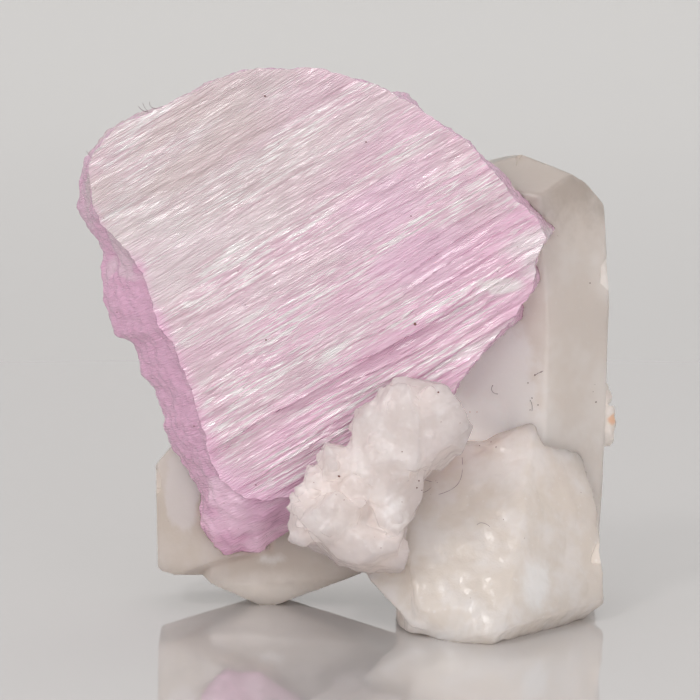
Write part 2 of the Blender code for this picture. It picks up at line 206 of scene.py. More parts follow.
def addStudio():
    settings = studio
    bpy.ops.object.select_all(action="DESELECT")
    bpy.ops.mesh.primitive_plane_add(size=1, location=(0, 0, 0))
    floor = bpy.context.object
    floor.name = "studioFloor"
    bpy.ops.object.mode_set(mode="EDIT")
    bpy.ops.mesh.select_all(action="SELECT")
    depth = settings["floorBack"] - settings["floorFront"]
    bpy.ops.transform.resize(value=(settings["floorWidth"], depth, 1))
    bpy.ops.transform.translate(value=(0, (settings["floorBack"] + settings["floorFront"]) / 2, 0))
    bpy.ops.mesh.select_all(action="DESELECT")
    bpy.ops.object.mode_set(mode="OBJECT")
    for edge in floor.data.edges:
        edge.select = all(floor.data.vertices[v].co.y > 0.5 for v in edge.vertices)
    bpy.ops.object.mode_set(mode="EDIT")
    bpy.ops.mesh.select_mode(type="EDGE")
    bpy.ops.mesh.extrude_region_move(TRANSFORM_OT_translate={"value": (0, 0, settings["backHeight"])})
    bpy.ops.object.mode_set(mode="OBJECT")
    for edge in floor.data.edges:
        ends = [floor.data.vertices[v].co for v in edge.vertices]
        edge.select = all(end.y > 0.5 and abs(end.z) < 1e-6 for end in ends)
    bpy.ops.object.mode_set(mode="EDIT")
    bpy.ops.mesh.bevel(offset=settings["bend"], segments=32)
    bpy.ops.object.mode_set(mode="OBJECT")
    bpy.ops.object.shade_smooth()

    finish, tree, shader, position = newMaterial("paleFloor", settings["floorSkin"])
    cloud = addNode(tree, "TexNoise", (-700, -200), {"Vector": position, "Scale": 60, "Detail": 3})
    rough = addRange(tree, cloud.outputs["Fac"], (0, 1, *settings["floorRoughness"]), (-500, -200))
    # Painted light: paler further back
    split = addNode(tree, "SeparateXYZ", (-700, 200), {"Vector": position})
    fade = addRange(tree, split.outputs["Y"], (*settings["fade"], 0, 1), (-500, 200), "SMOOTHSTEP")
    shade = addMix(tree, settings["floorColour"], settings["backColour"], fade, (-300, 200))
    setInputs(tree, shader, {"Base Color": shade, "Roughness": rough})
    floor.data.materials.append(finish)

    world = bpy.data.worlds.new("softRoom")
    world.use_nodes = True
    setInputs(world.node_tree, world.node_tree.nodes["Background"],
              {"Color": settings["world"], "Strength": settings["worldStrength"]})
    bpy.context.scene.world = world
    for name, place, size, watts, colour in settings["lamps"]:
        aim = (Vector((0, 0, 0.02)) - Vector(place)).to_track_quat("-Z", "Y").to_euler()
        bpy.ops.object.light_add(type="AREA", location=place, rotation=aim)
        lamp = bpy.context.object
        lamp.name = name
        lamp.data.size = size
        lamp.data.energy = watts
        lamp.data.color = colour
        lamp.visible_camera = False


# Kunzite blade

blade = {
    "centre": (-0.00318, -0.00277, 0.0250),   # middle of the ridged slab
    "ridgeAngle": 31,                         # rise of the ridges to the right, degrees
    "length": 48,                             # mm along the ridges
    "height": 46,                             # mm across them
    "thickness": 6.7,
    "pull": 7,                                # the slab is drawn short and pulled out this many times
    "rowStep": 0.08,                          # mm between mesh rows across the ridges
    "columnStep": 0.42,
    "ledges": (                               # mm across from the middle, slope, wobble, step back
        (-6.4, 0.0, 0.35, 0.42),
        (-9.6, 0.02, 0.3, 0.20),
        (2.6, -0.06, 0.5, 0.10),
        (7.5, 0.05, 0.6, 0.08),
        (12.0, -0.03, 0.5, 0.10),
    ),
    "steps": (1.15, 0.16),                    # mm between the broad steps at the lower right, and their depth
    "stepLean": (0.16, -0.30, -1.2),          # how the steps grow along and across the ridges, and from where
    "busyPatch": (9, 3.2, 5),                 # mm size of the places where the ridges are strong
    "busyLeast": 0.12,
    "layers": (                               # pattern, size and depth in mm, where, and the pattern's settings
        ("CLOUDS", 3.4, 0.34, "", {}),
        ("VORONOI", 0.66, -0.27, "busy", {"weight_1": 1.0, "noise_intensity": 1.0}),
        ("VORONOI", 0.34, 0.19, "busy", {"weight_1": -1.0, "weight_2": 1.0, "noise_intensity": 2.0}),
    ),
    "rimVoxel": 0.24,
    "rimPush": 1.4,                           # mm that the outline's broad faces stand clear of the slab
    "rimLayers": (
        ("CLOUDS", 2.2, 0.36, "", {}),
        ("VORONOI", 0.9, -0.26, "", {"weight_1": 1.0, "noise_intensity": 1.0}),
        ("CLOUDS", 0.40, 0.14, "", {"noise_depth": 1}),
    ),
    "topSlope": 1.5,                          # mm that the top rim falls from the front to the back
    "topStart": (27, 9),                      # mm up where that slope begins, and over how many it grows
    "sideShade": (0.70, 0.35, 0.85),          # how flat a side is where its pink starts, its spread, and its most
    "faceEdge": (        # x and z in mm where the pale face meets the deep pink rim, and the width of the change
        (-19.0, 33.6, 0.5), (-18.8, 31.7, 0.5), (-17.8, 29.6, 0.5), (-16.8, 28.5, 0.6), (-15.3, 27.7, 0.7),
        (-14.8, 26.5, 0.7), (-14.4, 24.9, 0.8), (-13.5, 23.1, 0.9), (-12.7, 21.2, 1.1), (-11.6, 18.7, 1.4),
        (-10.6, 16.2, 2.0), (-9.9, 14.2, 2.4), (-8.7, 12.2, 2.6), (-6.9, 10.9, 2.6), (-2.6, 10.8, 2.2),
        (3.0, 12.6, 1.6), (9.5, 18.4, 1.2), (15.0, 23.4, 0.8), (19.0, 30.0, 0.5), (12.6, 37.2, 0.4),
        (7.6, 41.0, 0.3), (2.4, 43.6, 0.3), (-3.0, 44.6, 0.3), (-10.0, 43.6, 0.3), (-15.8, 39.9, 0.3),
        (-19.6, 36.8, 0.4),
    ),
}


def ridgedSlab():
    settings = blade
    pull = settings["pull"]
    bpy.ops.object.select_all(action="DESELECT")
    bpy.ops.mesh.primitive_grid_add(
        x_subdivisions=round(settings["length"] / settings["columnStep"]),
        y_subdivisions=round(settings["height"] / settings["rowStep"]),
        size=1, location=(0, 0, 0))
    slab = bpy.context.object
    slab.name = "ridgedSlab"
    bpy.ops.object.mode_set(mode="EDIT")
    bpy.ops.mesh.select_all(action="SELECT")
    bpy.ops.transform.resize(value=(settings["length"] / pull * mm, settings["height"] * mm, 1))
    bpy.ops.transform.translate(value=(0, 0, -settings["thickness"] / 2 * mm))
    bpy.ops.mesh.extrude_region_move(TRANSFORM_OT_translate={"value": (0, 0, settings["thickness"] * mm)})
    bpy.ops.mesh.select_all(action="SELECT")
    bpy.ops.mesh.normals_make_consistent(inside=False)
    bpy.ops.object.mode_set(mode="OBJECT")

    # The ridges are strong in some places and nearly gone in others
    busy = slab.vertex_groups.new(name="busy")
    patchX, patchY, patchZ = settings["busyPatch"]
    for vertex in slab.data.vertices:
        place = Vector((vertex.co.x * pull / patchX, vertex.co.y / patchY, vertex.co.z / patchZ)) / mm
        strength = min(1, max(settings["busyLeast"], 0.5 + 1.3 * noise.noise(place)))
        busy.add([vertex.index], strength, "REPLACE")
    for pattern, size, depth, where, look in settings["layers"]:
        relief(slab, pattern, size, depth, vertexGroup=where, **look)

    for across, slope, wobble, step in settings["ledges"]:
        for vertex in slab.data.vertices:
            along = vertex.co.x * pull / mm
            line = across + slope * along + wobble * noise.noise(Vector((along / 4, across, 0)))
            if vertex.co.z > 0 and vertex.co.y / mm < line:
                vertex.co.z -= step * mm

    # Broad steps, each tipped a little, below the main ledge and at the right end
    spacing, depth = settings["steps"]
    alongLean, acrossLean, start = settings["stepLean"]
    for vertex in slab.data.vertices:
        if vertex.co.z > 0:
            along, across = vertex.co.x * pull / mm, vertex.co.y / mm
            wander = noise.noise(Vector((along / 9, across / 5, 3)))
            share = min(1, max(0, (along * alongLean + across * acrossLean + start) + 1.5 * wander))
            vertex.co.z -= depth * mm * share * ((across / spacing + wander) % 1)

    slab.scale = (pull, 1, 1)
    onlySelect(slab)
    bpy.ops.object.transform_apply(scale=True)
    slab.rotation_euler = (math.radians(90), 0, 0)
    bpy.ops.object.transform_apply(rotation=True)
    slab.rotation_euler = (0, -math.radians(settings["ridgeAngle"]), 0)
    slab.location = settings["centre"]
    bpy.ops.object.transform_apply(location=True, rotation=True)
    return slab


def raggedOutline():
    # The blade's own outline, with both broad faces pushed out past the ridged slab
    settings = blade
    rim = copyOf("kunzite_crystal", "kunziteBlade")
    topStart, topSpan = settings["topStart"]
    front = settings["centre"][1] - settings["thickness"] / 2 * mm
    back = settings["centre"][1] + settings["thickness"] / 2 * mm
    for vertex in rim.data.vertices:
        if vertex.co.y < front + 0.9 * mm:
            vertex.co.y -= settings["rimPush"] * mm
        elif vertex.co.y > back - 0.6 * mm:
            vertex.co.y += settings["rimPush"] * mm
        high = max(0, min(1, (vertex.co.z / mm - topStart) / topSpan))
        deep = (vertex.co.y - front) / (back - front)
        vertex.co.z -= settings["topSlope"] * mm * high * (deep - 0.45)
    applyModifier(rim, "REMESH", mode="VOXEL", voxel_size=settings["rimVoxel"] * mm)
    applyModifier(rim, "SMOOTH", iterations=2)
    for pattern, size, depth, where, look in settings["rimLayers"]:
        relief(rim, pattern, size, depth, vertexGroup=where, **look)
    return rim


def shadeRim(piece):
    # 0 on the pale face and 1 on the deep pink rim, kept as an attribute for the material
    edge = np.array(blade["faceEdge"], float)
    points = np.zeros(len(piece.data.vertices) * 3, np.float32)
    piece.data.vertices.foreach_get("co", points)
    points = points.reshape(-1, 3)[:, [0, 2]].astype(float) / mm
    nearest = np.full(len(points), 1e9)
    width = np.ones(len(points))
    inside = np.zeros(len(points), bool)
    for start, end in zip(edge, np.roll(edge, -1, axis=0)):
        side = (end - start)[:2]
        share = np.clip((points - start[:2]) @ side / (side @ side), 0, 1)
        away = np.linalg.norm(points - start[:2] - share[:, None] * side, axis=1)
        width = np.where(away < nearest, start[2] + share * (end[2] - start[2]), width)
        nearest = np.minimum(nearest, away)
        crosses = (start[1] > points[:, 1]) != (end[1] > points[:, 1])
        level = start[0] + (points[:, 1] - start[1]) / (side[1] or 1e-9) * side[0]
        inside ^= crosses & (points[:, 0] < level)
    shade = np.clip(np.where(inside, -nearest, nearest) / width + 0.3, 0, 1)
    normals = np.zeros(len(piece.data.vertices) * 3, np.float32)
    piece.data.vertices.foreach_get("normal", normals)
    flat, spread, most = blade["sideShade"]
    shade = np.maximum(shade, np.clip((flat - np.abs(normals[1::3])) / spread, 0, most))   # the narrow sides
    attribute = piece.data.attributes.new("rimShade", "FLOAT", "POINT")
    attribute.data.foreach_set("value", (shade * shade * (3 - 2 * shade)).astype(np.float32))


def kunziteBlade(material):
    slab = ridgedSlab()
    print("ridged slab:", len(slab.data.polygons), "faces")
    piece = raggedOutline()
    print("outline:", len(piece.data.polygons), "faces")
    applyModifier(piece, "BOOLEAN", operation="INTERSECT", solver="MANIFOLD", object=slab)
    bpy.data.objects.remove(slab)
    shadeRim(piece)
    finishPiece(piece, material, "kunzite", "kunzite_crystal", angle=40)
    return piece


# Shared patterns

def newGroup(name, inputs, outputs):
    group = bpy.data.node_groups.new(name, "ShaderNodeTree")
    for label in inputs:
        kind = "NodeSocketVector" if label in ("Position", "Stretch", "Offset") else "NodeSocketFloat"
        group.interface.new_socket(name=label, in_out="INPUT", socket_type=kind)
    for label in outputs:
        group.interface.new_socket(name=label, in_out="OUTPUT", socket_type="NodeSocketFloat")
    start = group.nodes.new("NodeGroupInput")
    end = group.nodes.new("NodeGroupOutput")
    start.location, end.location = (-900, 0), (600, 0)
    return group, start.outputs, end


def makeSoftPatch():
    # A soft spot at one place in a crystal, used for cloudy spots and tints and for painted light: 0 outside its
    # radius, and up to its strength in the middle
    group, start, end = newGroup(
        "softPatch", ("Position", "Stretch", "Offset", "Ragged", "Noise", "Edge", "Core", "Strength"), ("Mask",))
    moved = addNode(group, "VectorMath", (-600, 100), {
        0: start["Position"], 1: start["Stretch"], 2: start["Offset"]}, operation="MULTIPLY_ADD")
    away = addNode(group, "VectorMath", (-400, 100), {0: moved.outputs["Vector"]}, operation="LENGTH")
    frayed = addMath(group, "MULTIPLY_ADD", start["Noise"], start["Ragged"], (-200, 0), away.outputs["Value"])
    limits = (start["Edge"], start["Core"], 0, start["Strength"])
    setInputs(group, end, {"Mask": addRange(group, frayed, limits, (200, 0), "SMOOTHSTEP")})
    return group


def softMask(tree, patch, position, edges, place):
    # The mask of one soft patch, whose centre and radius are in mm
    centre, radius, tint, softness, ragged, strength = patch
    edge = 1 + ragged / 2
    return addNode(tree, "Group", place, {
        "Position": position, "Stretch": [1 / (r * mm) for r in radius],
        "Offset": [-c / r for c, r in zip(centre, radius)], "Ragged": ragged, "Noise": edges,
        "Edge": edge, "Core": edge - softness, "Strength": strength}, node_tree=softPatch).outputs["Mask"]


def layPatches(tree, colour, patches, position, edges):
    # Each patch of colour lies over the last
    for number, patch in enumerate(patches):
        mask = softMask(tree, patch, position, edges, (200 * number, -900))
        colour = addMix(tree, colour, patch[2], mask, (200 * number, 150))
    return colour


def addPaintedGlow(material, lift, position, edges, shader):
    # Painted light: a faint glow painted at one place, standing in for light come through the crystal from behind
    tree = material.node_tree
    mask = softMask(tree, lift, position, edges, (-1000, -1200))
    glow = addMix(tree, (0, 0, 0, 1), lift[2], mask, (-700, -1200))
    setInputs(tree, shader, {"Emission Color": glow, "Emission Strength": 1})
    material.cycles.emission_sampling = "NONE"      # so faint that it needn't be sampled as a lamp


def makeQuartzClouds():
    # Milky veils, thin healed cracks and bright points inside quartz, and the fine grain of its skin
    group, start, end = newGroup("quartzClouds", ("Position", "Veil Size", "Amount", "Sparkle"), ("Mask", "Height"))
    position = start["Position"]
    size = addMath(group, "DIVIDE", 1000, start["Veil Size"], (-700, 200))
    veils = addNode(group, "TexNoise", (-500, 200),
                    {"Vector": position, "Scale": size, "Detail": 3, "Roughness": 0.62})
    spread = addRange(group, veils.outputs["Fac"], (0.40, 0.66, 0, 1), (-250, 200), "SMOOTHSTEP")
    cracks = addNode(group, "TexVoronoi", (-500, 500), {"Vector": position, "Scale": size, "Randomness": 1.0},
                     feature="DISTANCE_TO_EDGE")
    line = addRange(group, cracks.outputs["Distance"], (0.0, 0.03, 0.35, 0.0), (-250, 500))
    points = addNode(group, "TexVoronoi", (-500, 800), {"Vector": position, "Scale": 1400, "Randomness": 1.0})
    dot = addRange(group, points.outputs["Distance"], (0.10, 0.20, 1.0, 0.0), (-250, 800))
    veiled = addMath(group, "MULTIPLY", spread, start["Amount"], (-50, 200))
    cracked = addMath(group, "MULTIPLY", line, spread, (-50, 500))
    sparkling = addMath(group, "MULTIPLY", dot, start["Sparkle"], (-50, 800))
    mask = addMath(group, "MAXIMUM", addMath(group, "MAXIMUM", veiled, cracked, (150, 300)), sparkling, (350, 300))
    grain = addNode(group, "TexNoise", (-500, -200),
                    {"Vector": position, "Scale": 1800, "Detail": 2, "Roughness": 0.65})
    setInputs(group, end, {"Mask": mask, "Height": grain.outputs["Fac"]})
    return group


softPatch = makeSoftPatch()
quartzClouds = makeQuartzClouds()


# Kunzite finish

kunziteLook = {
    "greyPink": (0.82, 0.67, 0.70, 1),
    "pink": (0.95, 0.57, 0.76, 1),
    "deepPink": (0.95, 0.55, 0.77, 1),
    # partly the blade's own silky fibres and partly a painted highlight
    "silkAndHighlight": (1.0, 0.95, 0.95, 1),
    "roughness": 0.27,
    "silkRoughness": 0.10,
    "skin": 0.35,
    "skinRoughness": 0.07,
    "transmission": 0.27,
    "ior": 1.66,
    "absorption": (0.92, 0.60, 0.86, 1),
    "density": 10,
    "silkAndHighlightMost": 0.95,
    "glow": {"Subsurface Weight": 0.45, "Subsurface Radius": (1.0, 0.7, 0.85), "Subsurface Scale": 0.0010},
    "grain": (0.8, 0.1),       # strength and depth in mm of the finest threads
    "threadShade": (0.30, 0.86),   # how much the threads show, and how dark they are
    "drift": (-0.048, -0.012),     # x minus z in m where the grey side ends, and where the pink side starts
    "driftBack": 0.25,
    "patterns": {     # scale across, through and up, detail, low and high end, most
        "bundles": ((90, 300, 360), 1, 0.40, 0.62, 1.0),
        "streaks": ((260, 900, 6200), 2, 0.52, 0.60, 1.0),
        "dashes": ((620, 1500, 6500), 1, 0.60, 0.66, 1.0),
        "threads": ((420, 2000, 9500), 1, 0.30, 0.70, 1.0),
        "bands": ((70, 200, 330), 1, 0.3, 0.7, 0.5),
    },
    # painted light: a faint pink glow painted into the lower tip, as if lit through from behind
    "lift": ((-8.7, -3.0, 7.2), (4.4, 8.0, 4.6), (1.0, 0.42, 0.66, 1), 0.9, 0.8, 0.08),
    "zones": (     # centre and radius in mm, tint, softness, ragged edge, strength
        ((3.4, -6.0, 29.0), (4.2, 6.0, 5.6), (0.93, 0.60, 0.80, 1), 0.9, 1.2, 0.45),
        # partly the blade's own silk, partly a painted highlight
        ((-12.6, -6.0, 28.6), (6.2, 6.0, 4.0), (0.98, 0.94, 0.93, 1), 0.9, 1.8, 0.35),
        ((-14.0, -6.0, 36.0), (7.5, 6.0, 4.8), (0.76, 0.625, 0.625, 1), 0.8, 1.2, 0.75),
        # painted light: the lower tip painted paler and brighter pink, as if lit through from behind
        ((-8.6, -4.0, 7.4), (4.6, 6.0, 5.2), (1.0, 0.74, 0.89, 1), 0.9, 1.0, 0.85),
        # painted highlights: bright glints painted on facets at the right end and at the middle left
        ((10.1, -6.0, 25.6), (1.9, 5.0, 0.7), (1.0, 0.97, 0.95, 1), 0.5, 0.9, 0.8),
        ((13.4, -6.0, 28.4), (2.2, 5.0, 1.8), (1.0, 0.93, 0.94, 1), 0.8, 1.4, 0.7),
        ((-8.6, -6.0, 18.8), (1.6, 5.0, 0.6), (1.0, 0.96, 0.94, 1), 0.6, 1.2, 0.7),
        ((4.5, -6.0, 20.0), (5.0, 5.0, 1.6), (0.90, 0.57, 0.73, 1), 0.8, 1.2, 0.5),
    ),
}


def kunziteMaterial():
    look = kunziteLook
    material, tree, shader, position = newMaterial("pinkKunzite", {
        "IOR": look["ior"], "Transmission Weight": look["transmission"], "Coat Weight": look["skin"],
        "Coat Roughness": look["skinRoughness"], "Coat IOR": look["ior"], **look["glow"]})
    turned = addNode(tree, "Mapping", (-1500, 0),
                     {"Vector": position, "Rotation": (0, math.radians(blade["ridgeAngle"]), 0)})
    drawn = {}
    for number, (name, (scale, detail, low, high, most)) in enumerate(look["patterns"].items()):
        # Noise drawn out along the ridges, its mid greys spread to the whole range
        level = 900 - 300 * number
        stretched = addNode(tree, "VectorMath", (-1100, level), {0: turned.outputs["Vector"], 1: scale},
                            operation="MULTIPLY")
        pattern = addNode(tree, "TexNoise", (-900, level), {
            "Vector": stretched.outputs["Vector"], "Scale": 1.0, "Detail": detail, "Roughness": 0.6})
        drawn[name] = addRange(tree, pattern.outputs["Fac"], (low, high, 0, most), (-700, level), "SMOOTHSTEP")

    # Silky streaks, partly the blade's own silk and partly painted highlight: long and thin, gathered in bundles,
    # with short bright dashes between them
    silkAndHighlight = addMath(tree, "MAXIMUM", drawn["streaks"], drawn["dashes"], (-500, 600))
    silkAndHighlight = addMath(tree, "MULTIPLY", silkAndHighlight, drawn["bundles"], (-350, 700))
    silkAndHighlight = addMath(tree, "MULTIPLY", silkAndHighlight, look["silkAndHighlightMost"], (-200, 700))

    # Greyer towards the upper left, pinker towards the lower right
    split = addNode(tree, "SeparateXYZ", (-1300, -300), {"Vector": position})
    slope = addMath(tree, "SUBTRACT", split.outputs["X"], split.outputs["Z"], (-1100, -450))
    drift = addMath(tree, "SUBTRACT", addRange(tree, slope, (*look["drift"], 0, 1), (-900, -450)), look["driftBack"],
                    (-650, -450))
    pinkness = addMath(tree, "ADD", drift, drawn["bands"], (-500, -300))
    colour = addMix(tree, look["greyPink"], look["pink"], pinkness, (-350, -300))
    shown, darkness = look["threadShade"]
    shadow = addMath(tree, "MULTIPLY", drawn["threads"], shown, (-500, 0))
    colour = addMix(tree, colour, [channel * darkness for channel in look["greyPink"][:3]] + [1], shadow, (-300, 0))
    # The silk streaks laid on, partly painted highlight
    colour = addMix(tree, colour, look["silkAndHighlight"], silkAndHighlight, (-150, 150))
    rim = addNode(tree, "Attribute", (-150, -600), attribute_name="rimShade")
    colour = addMix(tree, colour, look["deepPink"], rim.outputs["Fac"], (-50, 0))
    # The zones: tints of the blade, a painted paler tip and painted glints
    colour = layPatches(tree, colour, look["zones"], position, drawn["bundles"])
    gloss = addRange(tree, silkAndHighlight, (0, 1, look["roughness"], look["silkRoughness"]), (900, -150))   # silk shines more
    setInputs(tree, shader, {"Base Color": colour, "Roughness": gloss})
    # Painted light: a faint glow painted into the lower tip
    addPaintedGlow(material, look["lift"], position, drawn["bundles"], shader)
    addBump(tree, shader, drawn["threads"], *look["grain"])
    addAbsorption(tree, look["absorption"], look["density"])
    return material


# Quartz

quartzIor = 1.54
quartzGlowRadius = (1.0, 0.9, 0.8)
quartzGrainDepth = 0.1      # mm
patchEdgeScale = 600
quartzLooks = {
    "smokyQuartz": {
        "colour": (0.85, 0.765, 0.705, 1), "veil": (0.94, 0.88, 0.84, 1), "veilSize": 5, "veilAmount": 0.8,
        "roughness": 0.28, "transmission": 0.38, "absorption": (0.80, 0.66, 0.54, 1), "density": 16,
        "grain": 0.22, "glow": 0.004, "sparkle": 0.25,
        # painted light: a faint glow painted on the front left face, which lies in the blade's shade
        "lift": ((8.2, 0.6, 11.6), (5.6, 5.0, 6.0), (1.0, 0.90, 0.86, 1), 0.9, 0.6, 0.30),
        "patches": (   # centre and radius in mm, colour, softness, ragged edge, strength
            ((9.4, -0.4, 15.6), (5.4, 4.0, 10.0), (1.0, 0.965, 0.955, 1), 0.35, 0.7, 0.9),
            ((14.0, 2.0, 34.4), (11.0, 11.0, 7.4), (0.52, 0.45, 0.40, 1), 0.6, 0.6, 0.95),
            ((19.6, 3.4, 14.0), (0.6, 1.2, 0.7), (0.93, 0.56, 0.36, 1), 0.5, 1.4, 0.9),
        ),
    },
    "brownQuartz": {
        "colour": (0.69, 0.60, 0.53, 1), "veil": (0.77, 0.695, 0.655, 1), "veilSize": 4, "veilAmount": 0.6,
        "roughness": 0.30, "transmission": 0.36, "absorption": (0.76, 0.60, 0.48, 1), "density": 14,
        "grain": 0.18, "glow": 0.004, "sparkle": 0.15,
        "patches": (
            ((-12.8, 0.4, 9.2), (1.7, 1.8, 3.8), (0.80, 0.73, 0.72, 1), 0.3, 0.8, 0.8),
            ((-6.4, 1.0, 1.2), (6.6, 3.0, 2.2), (1.0, 0.92, 0.85, 1), 0.9, 0.6, 1.0),
            ((-6.2, 1.0, 4.0), (1.4, 1.2, 0.7), (0.99, 0.96, 0.94, 1), 0.8, 2.2, 0.8),
        ),
    },
    "milkyQuartz": {
        "colour": (0.81, 0.72, 0.65, 1), "veil": (0.87, 0.805, 0.77, 1), "veilSize": 3.4, "veilAmount": 1.0,
        "roughness": 0.27, "transmission": 0.27, "absorption": None,
        "grain": 0.45, "glow": 0.006, "sparkle": 0.6,
        "patches": (
            ((13.2, -6.6, 3.6), (1.8, 4.0, 2.5), (0.97, 0.945, 0.94, 1), 0.6, 1.0, 0.8),
            ((8.2, -9.0, 9.4), (2.4, 2.4, 2.0), (0.91, 0.83, 0.74, 1), 0.8, 1.0, 0.7),
            ((15.8, -4.4, 9.4), (2.2, 3.4, 2.0), (0.90, 0.81, 0.73, 1), 0.8, 1.0, 0.5),
        ),
    },
    "paleCrust": {
        "colour": (0.65, 0.575, 0.56, 1), "veil": (0.745, 0.685, 0.675, 1), "veilSize": 2.4, "veilAmount": 0.8,
        "roughness": 0.27, "transmission": 0.20, "absorption": None,
        "grain": 0.35, "glow": 0.005, "sparkle": 0.5,
        "patches": (
            ((2.8, -9.3, 9.4), (1.3, 1.6, 1.7), (0.86, 0.82, 0.82, 1), 0.5, 1.2, 1.0),
            ((1.0, -8.0, 5.8), (3.4, 3.0, 2.2), (0.74, 0.645, 0.61, 1), 0.5, 0.8, 0.8),
            ((5.6, -9.5, 14.6), (2.6, 2.0, 2.6), (0.73, 0.645, 0.64, 1), 0.7, 0.8, 0.6),
        ),
    },
}


def quartzMaterial(name):
    look = quartzLooks[name]
    material, tree, shader, position = newMaterial(name, {
        "Roughness": look["roughness"], "IOR": quartzIor, "Transmission Weight": look["transmission"],
        "Subsurface Weight": 1.0, "Subsurface Radius": quartzGlowRadius, "Subsurface Scale": look["glow"]})
    clouds = addNode(tree, "Group", (-1000, 0), {
        "Position": position, "Veil Size": look["veilSize"], "Amount": look["veilAmount"],
        "Sparkle": look["sparkle"]}, node_tree=quartzClouds).outputs
    edges = addNode(tree, "TexNoise", (-1300, -300),
                    {"Vector": position, "Scale": patchEdgeScale, "Detail": 3, "Roughness": 0.6}).outputs["Fac"]
    colour = addMix(tree, look["colour"], look["veil"], clouds["Mask"], (-700, 200))
    colour = layPatches(tree, colour, look["patches"], position, edges)
    setInputs(tree, shader, {"Base Color": colour})
    # Painted light: a faint glow painted where the finish has one
    if "lift" in look:
        addPaintedGlow(material, look["lift"], position, edges, shader)
    addBump(tree, shader, clouds["Height"], look["grain"], quartzGrainDepth)
    if look["absorption"]:
        addAbsorption(tree, look["absorption"], look["density"])
    return material


largeQuartz = {
    "finish": "smokyQuartz", "slot": "smoky_quartz", "node": "large_quartz_crystal",
    "voxel": 0.22, "smooth": 1, "layers": (("CLOUDS", 3.0, 0.08), ("CLOUDS", 0.5, 0.03)),
    "bodies": ({
        "low": (1.82, -3.67, 0.0), "high": (21.82, 13.33, 36.0),
        "faces": (   # a point on the face in mm, then the way it looks: azimuth and rise in degrees
            (14.32, -1.67, 18.0, -109.6, 1), (14.32, -1.67, 18.0, -49.6, -1), (19.02, 2.33, 18.0, 10.4, -1.5),
            (17.92, 8.23, 18.0, 70.4, -0.5), (8.82, 11.53, 18.0, 130.4, 1), (3.22, 6.33, 18.0, 190.4, 1.5),
            (12.62, 3.33, 34.0, 28, 60), (19.12, 4.33, 29.6, 5, 40), (12.62, 3.33, 34.0, -100, 60),
            (12.62, 3.33, 34.0, 160, 74), (11.82, 9.83, 31.0, 80, 44), (8.82, 6.33, 3.0, -150, -58),
            (16.82, 0.33, 10.0, -44, -5.5), (16.42, 0.13, 24.0, -52, 4), (18.82, 5.33, 11.0, 15, -6),
            (18.72, 5.73, 24.0, 6, 3.5), (13.82, 9.73, 22.0, 67, 4.5), (13.22, 9.83, 9.0, 75, -6),
            (5.82, 9.03, 14.0, 126, -4), (6.42, 9.53, 23.0, 134, 5), (3.12, 4.33, 20.0, 186, 5),
        ),
    },),
    "lumps": (       # x, y, z and size of the little crystals in the stained knob
        (18.7, 3.7, 14.2, 1.7), (19.0, 4.7, 15.4, 1.2), (18.8, 3.5, 12.6, 1.2), (19.3, 4.2, 13.4, 1.1),
        (18.5, 5.5, 13.6, 1.5), (18.3, 2.7, 15.2, 1.1), (19.4, 3.4, 14.6, 0.8), (19.2, 3.9, 12.1, 0.7),
        (18.9, 4.4, 16.2, 0.8), (19.5, 4.0, 13.9, 0.6),
    ),
    "chips": (
        (12.6, 2.3, 34.6, 2.8), (19.5, 2.0, 25.2, 2.4), (18.7, 9.1, 19.0, 3.4), (9.2, 12.2, 26.0, 3.2),
        (2.7, 8.7, 27.0, 3.2), (18.8, 8.7, 5.0, 3.0), (8.4, 12.3, 9.0, 3.6), (18.0, 10.1, 30.0, 3.0),
    ),
    "seed": 3,
}
baseQuartz = {
    "finish": "milkyQuartz", "slot": "milky_quartz", "node": "base_quartz_crystal",
    "voxel": 0.17, "smooth": 1,
    "layers": (("CLOUDS", 2.4, 0.22), ("VORONOI", 1.7, -0.20), ("VORONOI", 0.7, -0.07)),
    "bodies": ({
        "low": (3.22, -11.67, 0.0), "high": (18.82, 1.93, 16.0),
        "faces": (
            (7.82, -10.97, 0.6, -97, 36), (6.02, -8.87, 0.0, -162, 8), (5.02, -5.67, 5.0, -128, 22),
            (14.42, -5.07, 6.0, -44, 20), (15.82, -4.27, 0.0, -42, -38), (18.32, -0.67, 6.0, 2, 3),
            (17.02, -0.67, 0.0, 5, -50), (7.32, -10.87, 0.6, -95, -45), (4.82, -4.67, 0.2, -172, -36),
            (13.75, -1.55, 14.9, -165, 62), (14.12, -2.27, 14.0, -20, 55), (18.22, 0.23, 6.0, 42, 4),
        ),
    }, {
        "low": (0.9, -8.9, 0.7), "high": (6.6, -4.0, 6.4),
        "faces": (
            (2.5, -7.0, 2.6, -176, -44), (3.4, -6.6, 3.6, -118, 26), (2.0, -6.0, 5.4, -150, 50),
        ),
    }, {
        "low": (3.3, -9.6, 0.2), "high": (11.2, 1.6, 13.0),
        "faces": (
            (3.8, -6.0, 5.0, -160, 4), (6.6, -7.6, 5.0, -97, 37), (5.0, -6.4, 10.2, -128, 62),
            (5.0, -8.6, 1.0, -120, -30),
        ),
    }),
    "lumps": (),
    "chips": ((18.7, -2.7, 5.6, 2.6),),
    "seed": 17,
}
